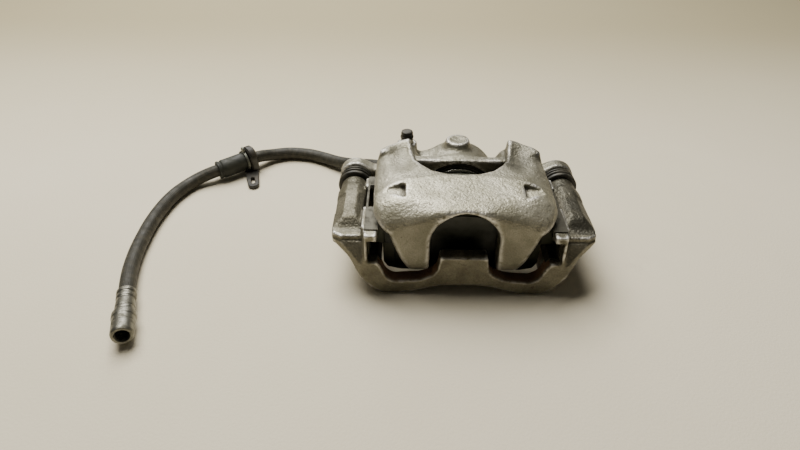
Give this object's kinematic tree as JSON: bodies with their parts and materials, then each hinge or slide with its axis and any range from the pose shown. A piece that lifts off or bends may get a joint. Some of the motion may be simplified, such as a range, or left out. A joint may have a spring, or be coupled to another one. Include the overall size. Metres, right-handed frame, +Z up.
{
  "type": "brake caliper",
  "caption": "Floating disc brake caliper on its anchor bracket, with pads, piston, rubber boots and a flexible hose that ends in a threaded socket.",
  "frame": {"origin": "on the ground under the middle of the caliper and bracket, hose left out", "axes": "+Z up, away from the wheel's centre; +X along the disc's tangent, between the guide pins; +Y inboard along the disc's axis, away from the fingers"},
  "size_m": [0.3207, 0.2341, 0.0698],
  "materials": {
    "silver_casting": "sand-cast, painted silver, dusty",
    "bracket_casting": "sand-cast, painted silver, bare and rusty on the pad side",
    "zinc_steel": "zinc plated, dulled",
    "stainless_strip": "bright rolled strip",
    "plated_piston": "ground and plated",
    "black_rubber": "moulded, matte",
    "hose_rubber": "extruded, satin, dusty",
    "black_plate": "black paint, dusty",
    "lining": "moulded friction compound",
    "copper": "soft copper, dull"
  },
  "bodies": {
    "bracket": {"anchor_bracket": "bracket_casting", "pad_clip_left": "stainless_strip", "pad_clip_right": "stainless_strip", "guide_pin_boot_left": "black_rubber", "guide_pin_boot_right": "black_rubber"},
    "housing": {"caliper_housing": "silver_casting", "piston_seal": "black_rubber", "piston_dust_boot": "black_rubber", "guide_pin_left": "zinc_steel", "guide_pin_right": "zinc_steel", "guide_pin_bolt_left": "zinc_steel", "guide_pin_bolt_right": "zinc_steel", "guide_pin_damper_sleeve": "black_rubber", "outer_pad_shim": "stainless_strip", "outer_pad_backing_plate": "black_plate", "outer_pad_lining": "lining", "inlet_washer": "copper", "hose_inlet_fitting": "zinc_steel", "hose_inlet_ferrule": "zinc_steel", "brake_hose": "hose_rubber", "hose_grommet": "black_rubber", "hose_clip": "zinc_steel", "hose_bracket": "black_plate", "hose_end_ferrule": "zinc_steel", "hose_end_socket": "zinc_steel"},
    "piston": {"piston": "plated_piston", "inner_pad_spring": "stainless_strip", "inner_pad_shim": "stainless_strip", "inner_pad_backing_plate": "black_plate", "inner_pad_lining": "lining"},
    "bleed_screw": {"bleed_screw": "zinc_steel"},
    "bleed_cap": {"bleed_screw_cap": "black_rubber"}
  },
  "joints": [
    {"name": "housing_slide", "type": "slide", "parent": "bracket", "child": "housing", "axis": [0, 1, 0], "range_m": [-0.001, 0.01], "deforming": ["guide_pin_boot_left", "guide_pin_boot_right"]},
    {"name": "piston_slide", "type": "slide", "parent": "housing", "child": "piston", "axis": [0, -1, 0], "range_m": [0, 0.02], "deforming": ["piston_dust_boot"]},
    {"name": "bleed_screw_turn", "type": "hinge", "parent": "housing", "child": "bleed_screw", "pos_m": [-0.037, 0.03998, 0.06], "axis": [0, 0, 1], "range_deg": [0, 180]},
    {"name": "bleed_cap_pull", "type": "slide", "parent": "bleed_screw", "child": "bleed_cap", "axis": [0, 0, 1], "range_m": [0, 0.012]}
  ]
}
